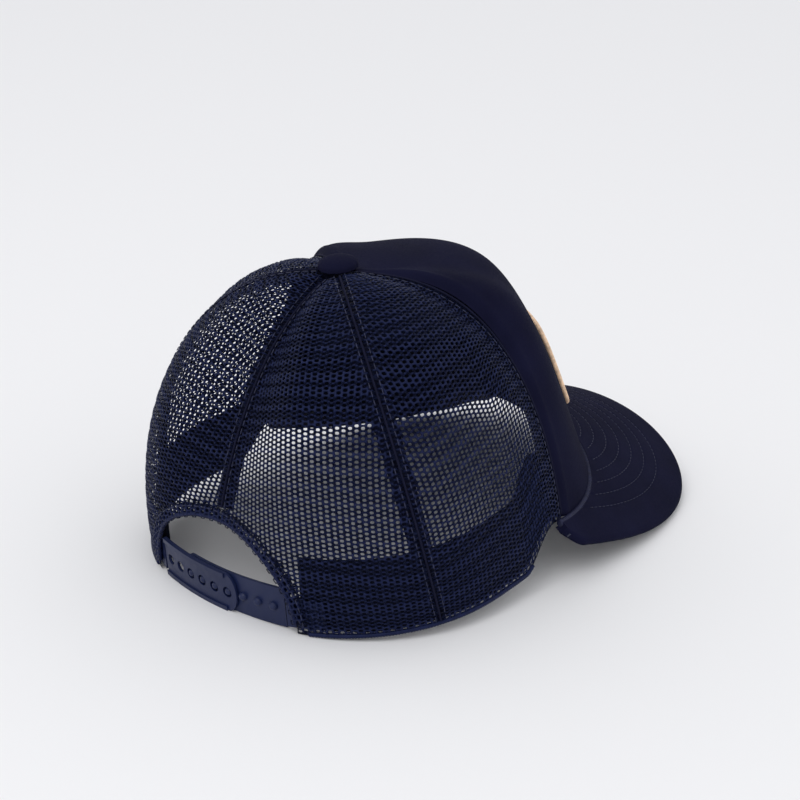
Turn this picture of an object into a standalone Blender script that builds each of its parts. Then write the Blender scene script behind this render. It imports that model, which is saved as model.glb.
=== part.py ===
"""Five-panel trucker cap: a foam front panel, four mesh panels, a curved visor and a snap strap.

Run it in Blender 4.5. Units are metres and +Z is up. The cap faces -Y, and +X is the wearer's left.
Every piece is built in the cap's own frame, whose ground plane is the plane of the side hems, and the
whole cap is then tilted nose up, the way it rests on its visor's side edges and on its back hem.
"""

import math

import bmesh
import bpy
from mathutils import Vector

# --- driving dimensions -------------------------------------------------------------------------

FRONT_LENGTH = 0.1100  # head opening, from its widest place to the middle of the front
BACK_LENGTH = 0.0765  # and from its widest place to the middle of the back
HALF_WIDTH = 0.0865
FRONT_FULLNESS = 2.50  # superellipse power of the front half, squarer than an ellipse
BACK_FULLNESS = 2.15
BUTTON_Y = -0.0100  # the button sits a little before the widest place
CROWN_HEIGHT = 0.1165
TILT = math.radians(6.7)
REST_PLACE = (0.0, 0.0489, 0.0079)  # brings the middle of the cap's footprint to the origin

# Each upright section of the crown is a conic from the hem to the button. A row holds the angle from
# the front, the reach and the height of its corner point as shares of the hem radius and the crown
# height, and the weight that pulls the section towards that corner.
SECTIONS = (
    (0.0, 0.782, 0.915, 5.5),
    (30.0, 0.737, 0.913, 3.45),
    (58.0, 0.842, 0.984, 1.11),
    (85.0, 0.980, 1.118, 0.85),
    (112.0, 1.133, 1.222, 0.56),
    (146.0, 1.056, 1.136, 0.76),
    (180.0, 0.819, 0.956, 0.75),
)

FRONT_SEAM = (61.4, 51.1)  # angle from the front at the hem and at the button
SIDE_SEAM = (110.1, 128.0)
CENTRE_SEAM = (180.0, 180.0)

VISOR_JOINT_HEIGHT = 0.0200  # middle of the visor joint above the hem plane
VISOR_BEND_RADIUS = 0.0978
VISOR_SLOPE = 0.415
VISOR_CORNER = 66.0
VISOR_LENGTH = 0.0640
VISOR_HALF_WIDTH = 0.0925
VISOR_FULLNESS = 2.90
VISOR_TAPER = 0.08  # share of the half visor over which it narrows to its corner
VISOR_END = 0.985  # share of the way to its corner where the visor stops
VISOR_RISE = 0.0012  # the seam cord lies this far above the underside of the board

MESH_THICKNESS = 0.0008
COVER_THICKNESS = 0.0006
FOAM_THICKNESS = 0.0040
FRONT_PUFF = 0.0018  # the foam front stands this proud of its seams
PUFF_NEAR = 0.010  # and rises to it between these distances from the button's axis
PUFF_FAR = 0.035
GAP = 0.0005
TOP_REACH = 0.0070  # the panels stop this far from the button's axis
TOP_MARGIN = 2.5  # degrees left at each seam there

TAPE_WIDTH = 0.0100
TAPE_THICKNESS = 0.0007
SWEATBAND_HEIGHT = 0.0300
SWEATBAND_THICKNESS = 0.0014

ARCH_HALF_WIDTH = 0.0390
ARCH_HEIGHT = 0.0370
ARCH_HEM_WIDTH = 0.0060
ARCH_FULLNESS = 2.4

STRAP_HEIGHT = 0.0175
STRAP_THICKNESS = 0.0012
STRAP_BOTTOM = 0.0008
STRAP_PITCH = 0.0075
STRAP_SPACING = 0.0016  # middle of the outer strap to middle of the inner strap
STRAP_ROOT_INSET = 0.0027  # how far inside the crown the strap runs at its roots
STRAP_ROOT_CLEAR = 0.0028  # and how far it stops from the edge of the opening, to swing clear of it
STRAP_BOW = 0.0045  # how far the middle of the strap bows out past its roots
RIM_WIDTH = 0.0020
RIM_HEIGHT = 0.0007
HOLE_RADIUS = 0.00235
PEG_RADIUS = 0.0019
PEG_HEIGHT = 0.0021
FIRST_HOLE_X = 0.0380
HOLES = 7
PEGS = 7
FIRST_PEG_X = FIRST_HOLE_X - 3 * STRAP_PITCH

BUTTON_RADIUS = 0.0083
BUTTON_RISE = 0.0048
PATCH_HALF_WIDTH = 0.0500
PATCH_HALF_HEIGHT = 0.0200
PATCH_CENTRE_HEIGHT = 0.0395
PATCH_CORNER = 0.0080
PATCH_THICKNESS = 0.0012
PATCH_EDGE_RADIUS = 0.0011
PATCH_EDGE_GAP = 0.0003
PATCH_BACK_RADIUS = 0.985 * FRONT_LENGTH  # radius of the front panel behind the patch

NAVY = (0.012, 0.016, 0.050)
NAVY_MESH = (0.016, 0.020, 0.055)
NAVY_PLASTIC = (0.020, 0.032, 0.090)
BLACK = (0.010, 0.010, 0.014)
FOAM_BLUE = (0.040, 0.050, 0.090)
CREAM = (0.80, 0.72, 0.58)
PEACH = (0.78, 0.50, 0.34)
STEEL = (0.45, 0.45, 0.47)


# --- scene helpers ------------------------------------------------------------------------------


def clear_scene():
    for found in list(bpy.data.objects):
        bpy.data.objects.remove(found, do_unlink=True)


def new_collection(name):
    made = bpy.data.collections.new(name)
    bpy.context.scene.collection.children.link(made)
    return made


def material(name, colour, roughness, metallic=0.0):
    made = bpy.data.materials.new(name)
    made.use_nodes = True
    shader = made.node_tree.nodes["Principled BSDF"]
    shader.inputs["Base Color"].default_value = (*colour, 1.0)
    shader.inputs["Roughness"].default_value = roughness
    shader.inputs["Metallic"].default_value = metallic
    made.diffuse_color = (*colour, 1.0)
    return made


def add_object(name, data, look, smooth_angle=None):
    made = bpy.data.objects.new(name, data)
    PARTS.objects.link(made)
    made.parent = CAP_FRAME
    data.materials.append(look)
    if smooth_angle is not None:
        data.shade_smooth()
        data.set_sharp_from_angle(angle=math.radians(smooth_angle))
    return made


def mesh_from_bmesh(name, shape):
    shape.normal_update()
    bmesh.ops.recalc_face_normals(shape, faces=shape.faces)
    data = bpy.data.meshes.new(name)
    shape.to_mesh(data)
    shape.free()
    return data


def sheet_mesh(name, point, across, along):
    """An open sheet of quads over the unit square, its faces turned away from the crown's middle."""
    shape = bmesh.new()
    rows = [
        [shape.verts.new(point(i / across, j / along)) for i in range(across + 1)]
        for j in range(along + 1)
    ]
    for low, high in zip(rows, rows[1:]):
        for i in range(across):
            shape.faces.new((low[i], low[i + 1], high[i + 1], high[i]))
    data = bpy.data.meshes.new(name)
    shape.to_mesh(data)
    shape.free()
    return data


def sheet_object(name, point, across, along, thickness, look, side=-1.0):
    """A sheet given its thickness by Solidify, on the inner side of the crown by default."""
    made = add_object(name, sheet_mesh(name, point, across, along), look, smooth_angle=50)
    solidify = made.modifiers.new("thickness", "SOLIDIFY")
    solidify.thickness = thickness
    solidify.offset = side
    solidify.use_even_offset = True
    return made


def tube_object(name, points, radius, look, cyclic=False):
    """A welded tube along a route, so that it is one closed body."""
    curve = bpy.data.curves.new(name + "_route", "CURVE")
    curve.dimensions = "3D"
    curve.bevel_depth = radius
    curve.bevel_resolution = 2
    curve.use_fill_caps = not cyclic
    spline = curve.splines.new("POLY")
    spline.points.add(len(points) - 1)
    for place, point in zip(spline.points, points):
        place.co = (*point, 1.0)
    spline.use_cyclic_u = cyclic
    return converted(name, curve, look)


def converted(name, curve, look):
    """The curve's own mesh as a new object, with its loose caps welded on."""
    route = bpy.data.objects.new(name + "_route", curve)
    PARTS.objects.link(route)
    bpy.context.view_layer.update()
    graph = bpy.context.evaluated_depsgraph_get()
    data = bpy.data.meshes.new_from_object(route.evaluated_get(graph))
    bpy.data.objects.remove(route, do_unlink=True)
    shape = bmesh.new()
    shape.from_mesh(data)
    bmesh.ops.remove_doubles(shape, verts=shape.verts, dist=1e-6)
    bmesh.ops.recalc_face_normals(shape, faces=shape.faces)
    shape.to_mesh(data)
    shape.free()
    data.name = name
    data.materials.clear()
    return add_object(name, data, look, smooth_angle=40)


# --- crown surface ------------------------------------------------------------------------------


def smooth(share):
    share = min(1.0, max(0.0, share))
    return share * share * (3.0 - 2.0 * share)


def signed_degrees(degrees):
    return (degrees + 180.0) % 360.0 - 180.0


def hem_radius(degrees):
    """Radius of the head opening at an angle from the front, positive towards the wearer's right."""
    c, s = math.cos(math.radians(degrees)), math.sin(math.radians(degrees))
    power = FRONT_FULLNESS if c > 0 else BACK_FULLNESS
    length = FRONT_LENGTH if c > 0 else BACK_LENGTH
    return (abs(c / length) ** power + abs(s / HALF_WIDTH) ** power) ** (-1.0 / power)


def hem_plan(degrees):
    radius = hem_radius(degrees)
    angle = math.radians(degrees)
    return -math.sin(angle) * radius, -math.cos(angle) * radius


def visor_height(x, y):
    """The visor slopes down towards the front and is bent down at both sides."""
    return VISOR_JOINT_HEIGHT - x * x / (2.0 * VISOR_BEND_RADIUS) + VISOR_SLOPE * (y + FRONT_LENGTH)


def visor_point(x, y, lift):
    """A point above the visor's middle surface, measured square to it."""
    normal = Vector((x / VISOR_BEND_RADIUS, -VISOR_SLOPE, 1.0)).normalized()
    return Vector((x, y, visor_height(x, y))) + normal * lift


def hem_height(degrees):
    """The hem lies flat, and rises over the visor joint between the visor's corners."""
    x, y = hem_plan(degrees)
    height = visor_height(x, y)
    rounding = 0.003
    raised = 0.5 * (height + math.sqrt(height * height + rounding * rounding))
    share = abs(signed_degrees(degrees)) / VISOR_CORNER
    return raised * (1.0 - smooth((share - 0.98) / 0.22))


def section(degrees):
    """Reach, height and weight of the section's corner point, blended between the table's rows."""
    angle = abs(signed_degrees(degrees))
    for low, high in zip(SECTIONS, SECTIONS[1:]):
        if angle <= high[0]:
            break
    share = smooth((angle - low[0]) / (high[0] - low[0]))
    return [a + (b - a) * share for a, b in zip(low[1:], high[1:])]


def crown_point(degrees, rise):
    """A point of the crown's outer surface: rise is 0 at the hem and 1 at the button."""
    x, y = hem_plan(degrees)
    reach = math.hypot(x, y - BUTTON_Y)
    corner_reach, corner_height, weight = section(degrees)
    down, both, up = (1 - rise) ** 2, 2 * weight * (1 - rise) * rise, rise * rise
    total = down + both + up
    radius = (down * reach + both * corner_reach * reach) / total
    height = down * hem_height(degrees) + both * corner_height * CROWN_HEIGHT + up * CROWN_HEIGHT
    return Vector((x / reach * radius, BUTTON_Y + (y - BUTTON_Y) / reach * radius, height / total))


def crown_normal(degrees, rise):
    step = 1e-3
    low, high = max(0.0, rise - step), min(1.0, rise + step)
    across = crown_point(degrees + 0.2, rise) - crown_point(degrees - 0.2, rise)
    along = crown_point(degrees, high) - crown_point(degrees, low)
    return along.cross(across).normalized()


def crown_at(degrees, rise, out):
    """A point at a distance outside (or, below zero, inside) the crown's outer surface."""
    rise = min(rise, 0.999)
    return crown_point(degrees, rise) + crown_normal(degrees, rise) * out


def rise_at_length(degrees, length):
    """The rise whose point lies this far up the section from the hem, measured along the cloth."""
    steps = 80
    gone, last = 0.0, crown_point(degrees, 0.0)
    for i in range(steps):
        point = crown_point(degrees, (i + 1) / steps)
        step = (point - last).length
        if gone + step >= length:
            return (i + (length - gone) / step) / steps
        gone, last = gone + step, point
    return 1.0


def rise_at_reach(degrees, reach):
    """The rise at which the section comes this near to the button's axis."""
    low, high = 0.5, 1.0
    for _ in range(30):
        middle = (low + high) / 2
        point = crown_point(degrees, middle)
        if math.hypot(point.x, point.y - BUTTON_Y) > reach:
            low = middle
        else:
            high = middle
    return high


def seam_angle(seam, rise):
    return seam[0] + (seam[1] - seam[0]) * rise


# --- panels -------------------------------------------------------------------------------------


def arch_place(turn, grow=0.0):
    """Angle and rise of a point on the opening's edge: turn runs from 0 at the wearer's right foot
    to 1 at the left foot, and grow moves the point outwards from the opening."""
    angle = math.pi * turn
    half_width, height = ARCH_HALF_WIDTH + grow, ARCH_HEIGHT + grow
    power = 2.0 / ARCH_FULLNESS
    c, s = math.cos(angle), math.sin(angle)
    x = -half_width * math.copysign(abs(c) ** power, c)
    climb = height * abs(s) ** power
    degrees = angle_at_x(x)
    return degrees, rise_at_length(degrees, climb)


def angle_at_x(x):
    """The angle, near the back, at which the hem has this x."""
    low, high = 90.0, 270.0
    for _ in range(40):
        middle = (low + high) / 2
        if hem_plan(middle)[0] < x:
            low = middle
        else:
            high = middle
    return (low + high) / 2


def ruled(bottom, top):
    """A patch of (angle, rise) pairs between two edges."""

    def place(across, along):
        a, b = bottom(across), top(across)
        return a[0] + (b[0] - a[0]) * along, a[1] + (b[1] - a[1]) * along

    return place


def panel_point(place, out):
    return lambda across, along: crown_at(*place(across, along), out)


def seam_margin(degrees, width):
    """A width at the hem as an angle."""
    return math.degrees(width / hem_radius(degrees))


def side_place(side, hem_lift=0.0022):
    margin = seam_margin(90, GAP)

    def bottom(across):
        degrees = FRONT_SEAM[0] + margin + (SIDE_SEAM[0] - FRONT_SEAM[0] - 2 * margin) * across
        return side * degrees, rise_at_length(side * degrees, hem_lift)

    def top(across):
        first, last = FRONT_SEAM[1] + TOP_MARGIN, SIDE_SEAM[1] - TOP_MARGIN
        degrees = side * (first + (last - first) * across)
        return degrees, rise_at_reach(degrees, TOP_REACH)

    return ruled(bottom, top)


def back_place(side, hem_lift=0.0022):
    """The back panel's lower edge climbs round the opening and then follows the hem."""
    margin = seam_margin(150, GAP)
    arch_share = 0.62

    def bottom(across):
        if across < arch_share:
            turn = 0.5 * (1.0 - across / arch_share)
            degrees, rise = arch_place(turn, ARCH_HEM_WIDTH + GAP)
            degrees = min(degrees, 180.0 - margin)
            return side * degrees, max(rise, rise_at_length(degrees, hem_lift))
        foot = arch_place(0.0, ARCH_HEM_WIDTH + GAP)[0]
        share = (across - arch_share) / (1.0 - arch_share)
        degrees = foot + (SIDE_SEAM[0] + margin - foot) * share
        return side * degrees, rise_at_length(degrees, hem_lift)

    def top(across):
        first, last = 180.0 - TOP_MARGIN, SIDE_SEAM[1] + TOP_MARGIN
        degrees = side * (first + (last - first) * across)
        return degrees, rise_at_reach(degrees, TOP_REACH)

    return ruled(bottom, top)


def front_place(trim, hem_lift, top_reach):
    def edge(rise):
        degrees = seam_angle(FRONT_SEAM, rise)
        seam = crown_point(degrees, rise)
        return degrees - math.degrees(trim / math.hypot(seam.x, seam.y - BUTTON_Y))

    def bottom(across):
        degrees = edge(0.0) * (2 * across - 1)
        return degrees, rise_at_length(degrees, hem_lift)

    def top(across):
        degrees = edge(rise_at_reach(FRONT_SEAM[1], top_reach)) * (2 * across - 1)
        return degrees, rise_at_reach(degrees, top_reach)

    return ruled(bottom, top)


def front_puff(degrees, rise):
    """The foam front rolls down to its seams at the sides and to the button at the top."""
    share = abs(signed_degrees(degrees)) / seam_angle(FRONT_SEAM, rise)
    middle = crown_point(degrees, rise)
    reach = math.hypot(middle.x, middle.y - BUTTON_Y)
    near_top = smooth((reach - PUFF_NEAR) / (PUFF_FAR - PUFF_NEAR))
    return FRONT_PUFF * (1.0 - min(1.0, share) ** 8) * near_top


def front_point(place, out):
    def point(across, along):
        degrees, rise = place(across, along)
        return crown_at(degrees, rise, front_puff(degrees, rise) + out)

    return point


def flipped(point):
    """The same sheet run the other way round, so that its faces point out on the mirrored side."""
    return lambda across, along: point(1.0 - across, along)


def make_front_panel():
    cover_lift, foam_lift, foam_top = 0.0012, 0.0030, 0.0240
    cover = front_place(GAP, cover_lift, TOP_REACH)
    sheet_object(
        "front_panel_cover", flipped(front_point(cover, 0.0)), 20, 12, COVER_THICKNESS, LOOKS["knit"]
    )
    foam = front_place(TAPE_WIDTH / 2 + 9 * GAP, foam_lift, foam_top)
    depth = COVER_THICKNESS + GAP
    sheet_object(
        "front_panel_foam", flipped(front_point(foam, -depth)), 20, 11, FOAM_THICKNESS, LOOKS["foam"]
    )


def make_mesh_panels():
    for side, name in ((1, "right"), (-1, "left")):
        turn = flipped if side > 0 else (lambda point: point)
        point = turn(panel_point(side_place(side), 0.0))
        sheet_object(f"side_mesh_{name}", point, 10, 12, MESH_THICKNESS, LOOKS["mesh"])
        turn = (lambda point: point) if side > 0 else flipped
        point = turn(panel_point(back_place(side), 0.0))
        sheet_object(f"back_mesh_{name}", point, 16, 10, MESH_THICKNESS, LOOKS["mesh"])


def make_seam_tapes():
    """A woven tape covers each panel seam inside the crown."""
    out = -(MESH_THICKNESS + 2 * GAP)
    foot, top_reach = 0.06, 0.0125
    seams = [("centre_seam_tape", CENTRE_SEAM, 1)]
    for side, name in ((1, "right"), (-1, "left")):
        seams.append((f"front_seam_tape_{name}", FRONT_SEAM, side))
        seams.append((f"side_seam_tape_{name}", SIDE_SEAM, side))
    for name, seam, side in seams:
        low = arch_place(0.5, ARCH_HEM_WIDTH + GAP)[1] if seam is CENTRE_SEAM else foot
        high = rise_at_reach(side * seam[1], top_reach)

        def point(across, along, seam=seam, side=side, low=low, high=high):
            rise = low + (high - low) * along
            degrees = side * seam_angle(seam, rise)
            middle = crown_at(degrees, rise, 0.0)
            reach = math.hypot(middle.x, middle.y - BUTTON_Y)
            shift = math.degrees(TAPE_WIDTH * (0.5 - across) / reach)
            return crown_at(degrees + shift, rise, out)

        sheet_object(name, point, 2, 14, TAPE_THICKNESS, LOOKS["tape"])


def make_arch_hem():
    """The mesh is folded double round the back opening."""

    def point(across, along):
        degrees, rise = arch_place(0.02 + 0.96 * across, 0.0002 + ARCH_HEM_WIDTH * along)
        return crown_at(degrees, rise, 0.0003)

    sheet_object("arch_hem", point, 24, 1, 2 * MESH_THICKNESS, LOOKS["mesh"])


def make_hem_bindings():
    radius, steps, past_corner = 0.0009, 20, 10.0
    first, last = VISOR_CORNER + past_corner, arch_place(0.0, ARCH_HEM_WIDTH)[0]
    for side, name in ((1, "right"), (-1, "left")):
        points = []
        for i in range(steps + 1):
            degrees = side * (first + (last - first) * i / steps)
            base = crown_at(degrees, 0.0, -MESH_THICKNESS / 2)
            points.append(base + Vector((0, 0, radius)))
        tube_object(f"hem_binding_{name}", points, radius, LOOKS["tape"])


def sweatband_out(degrees):
    """The band lies against the foam in front and against the mesh and the strap tabs behind."""
    spare, beside = 0.0008, 0.0044
    before = COVER_THICKNESS + 2 * GAP + FOAM_THICKNESS + spare
    angle = abs(signed_degrees(degrees))
    return -(before + (beside - before) * smooth((angle - 48.0) / 12.0))


def make_sweatband():
    end, lift = 149.0, 0.0025

    def point(across, along):
        degrees = end * (2 * across - 1)
        rise = rise_at_length(degrees, lift + SWEATBAND_HEIGHT * along)
        return crown_at(degrees, rise, sweatband_out(degrees))

    sheet_object("sweatband", flipped(point), 40, 3, SWEATBAND_THICKNESS, LOOKS["sweatband"])


# --- visor --------------------------------------------------------------------------------------


def visor_plan(turn, out, inner_gap, outer_trim):
    """Plan of the visor: turn runs from -1 at one corner to 1 at the other, out from the joint to
    the free edge."""
    degrees = turn * VISOR_CORNER
    x, y = hem_plan(degrees)
    length = math.hypot(x, y)
    inner = Vector((x, y)) * (1.0 + inner_gap / length)
    corner_y = hem_plan(VISOR_CORNER)[1]
    forward = FRONT_LENGTH + VISOR_LENGTH + corner_y - outer_trim
    half_width = VISOR_HALF_WIDTH - outer_trim
    angle = turn * math.pi / 2
    c, s = abs(math.cos(angle)), math.sin(angle)
    radius = ((abs(s) / half_width) ** VISOR_FULLNESS + (c / forward) ** VISOR_FULLNESS) ** (
        -1.0 / VISOR_FULLNESS
    )
    outer = Vector((-s * radius, corner_y - c * radius))
    taper = smooth((1.02 - abs(turn)) / VISOR_TAPER)
    return inner + (outer - inner) * out * taper


def visor_sheet(name, inner_gap, outer_trim, lift, thickness, look):
    def point(across, along):
        plan = visor_plan((2 * across - 1) * VISOR_END, along, inner_gap, outer_trim)
        return visor_point(plan.x, plan.y, lift)

    return sheet_object(name, point, 26, 5, thickness, look)


def make_visor():
    board, cover = 0.0018, 0.0008
    joint_gap, board_inset, board_trim = 0.0032, 0.0003, 0.0012
    visor_sheet("visor_top_cover", joint_gap, 0.0, board + GAP + cover, cover, LOOKS["knit"])
    visor_sheet("visor_board", joint_gap + board_inset, board_trim, board, board, LOOKS["board"])
    visor_sheet("visor_bottom_cover", joint_gap, 0.0, -GAP, cover, LOOKS["knit"])


def make_visor_seam_cord():
    """A cord fills the crease where the visor meets the front panel."""
    steps = 32
    reach, radius = 0.0018, 0.0011
    points = []
    for i in range(steps + 1):
        degrees = (VISOR_CORNER - 3.0) * (2 * i / steps - 1)
        x, y = hem_plan(degrees)
        length = math.hypot(x, y)
        x, y = x * (1 + reach / length), y * (1 + reach / length)
        points.append(Vector((x, y, visor_height(x, y) + VISOR_RISE)))
    tube_object("visor_seam_cord", points, radius, LOOKS["knit"])


# --- button -------------------------------------------------------------------------------------


def turned_object(name, profile, look):
    """A profile of (radius, height) pairs turned about the button's axis."""
    shape = bmesh.new()
    points = [shape.verts.new((radius, 0.0, height)) for radius, height in profile]
    for a, b in zip(points, points[1:]):
        shape.edges.new((a, b))
    data = bpy.data.meshes.new(name)
    shape.to_mesh(data)
    shape.free()
    made = add_object(name, data, look, smooth_angle=40)
    screw = made.modifiers.new("turn", "SCREW")
    screw.steps = screw.render_steps = 24
    screw.use_merge_vertices = True
    screw.merge_threshold = 1e-5
    screw.use_smooth_shade = True
    made.location = (0.0, BUTTON_Y, CROWN_HEIGHT)
    return made


def make_button():
    """A covered button with its shank, clinched to a washer inside the crown."""
    underside, shank, foot = 0.0013, 0.0014, -0.0042
    edge, under_edge = 0.0012, 0.0008
    steps = 10
    profile = [(0.0, underside + BUTTON_RISE)]
    for i in range(1, steps + 1):
        angle = math.pi / 2 * i / steps
        lift = underside + edge + (BUTTON_RISE - edge) * math.cos(angle) ** 0.8
        profile.append((BUTTON_RADIUS * math.sin(angle), lift))
    profile += [(BUTTON_RADIUS, underside + under_edge), (BUTTON_RADIUS - under_edge, underside)]
    profile += [(shank, underside), (shank, foot), (0.0, foot)]
    turned_object("button", profile, LOOKS["knit"])
    inner, outer, top, bottom = 0.0018, 0.0075, -0.0024, -0.0034
    washer = [(outer, top), (outer, bottom), (inner, bottom), (inner, top), (outer, top)]
    turned_object("button_washer", washer, LOOKS["steel"])


# --- patch and label ----------------------------------------------------------------------------


def patch_place(x, climb):
    """Angle and rise on the front panel of a point given across it and up it."""
    degrees = -math.degrees(x / PATCH_BACK_RADIUS)
    return degrees, rise_at_length(degrees, climb)


def patch_outline(steps):
    """Corners rounded, going once round the patch."""
    points = []
    for quarter in range(4):
        corner_x = (PATCH_HALF_WIDTH - PATCH_CORNER) * (1 if quarter in (0, 3) else -1)
        corner_y = (PATCH_HALF_HEIGHT - PATCH_CORNER) * (1 if quarter in (0, 1) else -1)
        for i in range(steps + 1):
            angle = math.pi / 2 * (quarter + i / steps)
            points.append(
                (corner_x + PATCH_CORNER * math.cos(angle), corner_y + PATCH_CORNER * math.sin(angle))
            )
    return points


def patch_surface(x, y, out):
    degrees, rise = patch_place(x, PATCH_CENTRE_HEIGHT + y)
    return crown_at(degrees, rise, front_puff(degrees, rise) + out)


def rounded_half_height(x):
    """Half the patch's height at a distance from its middle, less at its rounded corners."""
    trim = PATCH_EDGE_RADIUS + PATCH_EDGE_GAP
    inset, corner, full = PATCH_HALF_WIDTH - trim, PATCH_CORNER - trim, PATCH_HALF_HEIGHT - trim
    past = max(0.0, abs(x) - (inset - corner))
    return full - corner + math.sqrt(max(0.0, corner**2 - past**2))


def make_patch():
    """A plain patch with an overlocked edge."""
    inset, piece = PATCH_HALF_WIDTH - PATCH_EDGE_RADIUS - PATCH_EDGE_GAP, 0.006

    def point(across, along):
        share = 2 * across - 1
        x = -inset * math.sin(share * math.pi / 2)
        y = rounded_half_height(x) * (2 * along - 1)
        return patch_surface(x, y, GAP + PATCH_THICKNESS)

    sheet_object("patch", flipped(point), 16, 5, PATCH_THICKNESS, LOOKS["patch"])
    rim = []
    corners = patch_outline(4)
    for (x0, y0), (x1, y1) in zip(corners, corners[1:] + corners[:1]):
        pieces = max(1, round(math.hypot(x1 - x0, y1 - y0) / piece))
        for i in range(pieces):
            x, y = x0 + (x1 - x0) * i / pieces, y0 + (y1 - y0) * i / pieces
            rim.append(patch_surface(x, y, GAP + PATCH_EDGE_RADIUS))
    tube_object("patch_edge", rim, PATCH_EDGE_RADIUS, LOOKS["patch_edge"], cyclic=True)


def make_label():
    """A blank folded label sewn in at the back of the sweatband."""

    first, sweep, lift, height, thickness = 135.0, 9.0, 0.006, 0.016, 0.0004

    def point(across, along):
        degrees = first + sweep * across
        rise = rise_at_length(degrees, lift + height * along)
        return crown_at(degrees, rise, sweatband_out(degrees) - SWEATBAND_THICKNESS - GAP)

    sheet_object("size_label", flipped(point), 4, 3, thickness, LOOKS["label"])


# --- snap strap ---------------------------------------------------------------------------------


def strap_arc():
    """Centre line of the closed strap: its radius and the y of its centre."""
    root = Vector(hem_plan(angle_at_x(ARCH_HALF_WIDTH - STRAP_ROOT_CLEAR)))
    root *= 1.0 - STRAP_ROOT_INSET / root.length
    radius = (root.x**2 + STRAP_BOW**2) / (2.0 * STRAP_BOW)
    return root, radius, root.y + STRAP_BOW - radius


def strap_point(along, height, depth):
    """A point of a strap: along it from the middle of the back, positive to the wearer's left."""
    _, radius, centre_y = strap_arc()
    angle = along / radius
    reach = radius + depth
    return Vector((reach * math.sin(angle), centre_y + reach * math.cos(angle), height))


def strap_stations(start, end):
    """Cross-sections along a strap: (along, low edge, high edge), full height from its root to its
    round free end."""
    half = STRAP_HEIGHT / 2
    way = 1.0 if end > start else -1.0
    tip, piece = 0.62 * half, 0.0025
    neck = end - way * tip
    pieces = max(1, round(abs(neck - start) / piece))
    stations = [(start + (neck - start) * i / pieces, half) for i in range(pieces)]
    for i in range(9):
        angle = math.pi / 2 * i / 8.4
        stations.append((neck + way * tip * math.sin(angle), half * math.cos(angle)))
    return [(along, half - reach, half + reach) for along, reach in stations]


def bar_into(shape, stations, base, top):
    """Adds a closed bar through the stations, between two depths."""
    rows = []
    for along, low, high in stations:
        corners = ((low, base), (high, base), (high, top), (low, top))
        rows.append([shape.verts.new((along, height, out)) for height, out in corners])
    for a, b in zip(rows, rows[1:]):
        for i in range(4):
            j = (i + 1) % 4
            shape.faces.new((a[i], a[j], b[j], b[i]))
    shape.faces.new(rows[0][::-1])
    shape.faces.new(rows[-1])


def wrapped_mesh(name, shape, depth, hinge):
    """Bends flat strap geometry onto the arc, with its origin on the hinge."""
    for vert in shape.verts:
        along, height, out = vert.co
        vert.co = strap_point(along, STRAP_BOTTOM + height, depth + out) - hinge
    return mesh_from_bmesh(name, shape)


def rims(start, end):
    """Raised rims along both long edges of a strap."""
    shape = bmesh.new()
    inset = 0.0001
    base, top = STRAP_THICKNESS * 0.2, STRAP_THICKNESS / 2 + RIM_HEIGHT
    for low, high in ((inset, RIM_WIDTH), (STRAP_HEIGHT - RIM_WIDTH, STRAP_HEIGHT - inset)):
        stations = [(along, low, high) for along, _, _ in strap_stations(start, end)]
        bar_into(shape, stations, base, top)
    return shape


def pegs():
    """Low domed pegs standing on the inner strap's outer face."""
    shape = bmesh.new()
    sunk = STRAP_THICKNESS * 0.6
    for i in range(PEGS):
        made = bmesh.ops.create_uvsphere(shape, u_segments=16, v_segments=8, radius=1.0)
        for vert in made["verts"]:
            x, y, z = vert.co
            vert.co = (
                FIRST_PEG_X - i * STRAP_PITCH + x * PEG_RADIUS,
                STRAP_HEIGHT / 2 + y * PEG_RADIUS,
                STRAP_THICKNESS / 2 + z * (PEG_HEIGHT if z > 0 else sunk),
            )
    return shape


def holes():
    shape = bmesh.new()
    for i in range(HOLES):
        made = bmesh.ops.create_cone(
            shape,
            cap_ends=True,
            segments=20,
            radius1=HOLE_RADIUS,
            radius2=HOLE_RADIUS,
            depth=6 * STRAP_THICKNESS,
        )
        middle = Vector((FIRST_HOLE_X - i * STRAP_PITCH, STRAP_HEIGHT / 2, 0.0))
        bmesh.ops.translate(shape, verts=made["verts"], vec=middle)
    return shape


def add_boolean(target, data, operation):
    helper = bpy.data.objects.new(data.name, data)
    CUTTERS.objects.link(helper)
    helper.parent = target
    helper.hide_render = True
    helper.display_type = "WIRE"
    boolean = target.modifiers.new(data.name, "BOOLEAN")
    boolean.operation = operation
    boolean.object = helper


def strap_object(name, start, end, depth, hinge):
    shape = bmesh.new()
    bar_into(shape, strap_stations(start, end), -STRAP_THICKNESS / 2, STRAP_THICKNESS / 2)
    made = add_object(name, wrapped_mesh(name, shape, depth, hinge), LOOKS["strap"], smooth_angle=40)
    made.location = hinge
    return made


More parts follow.
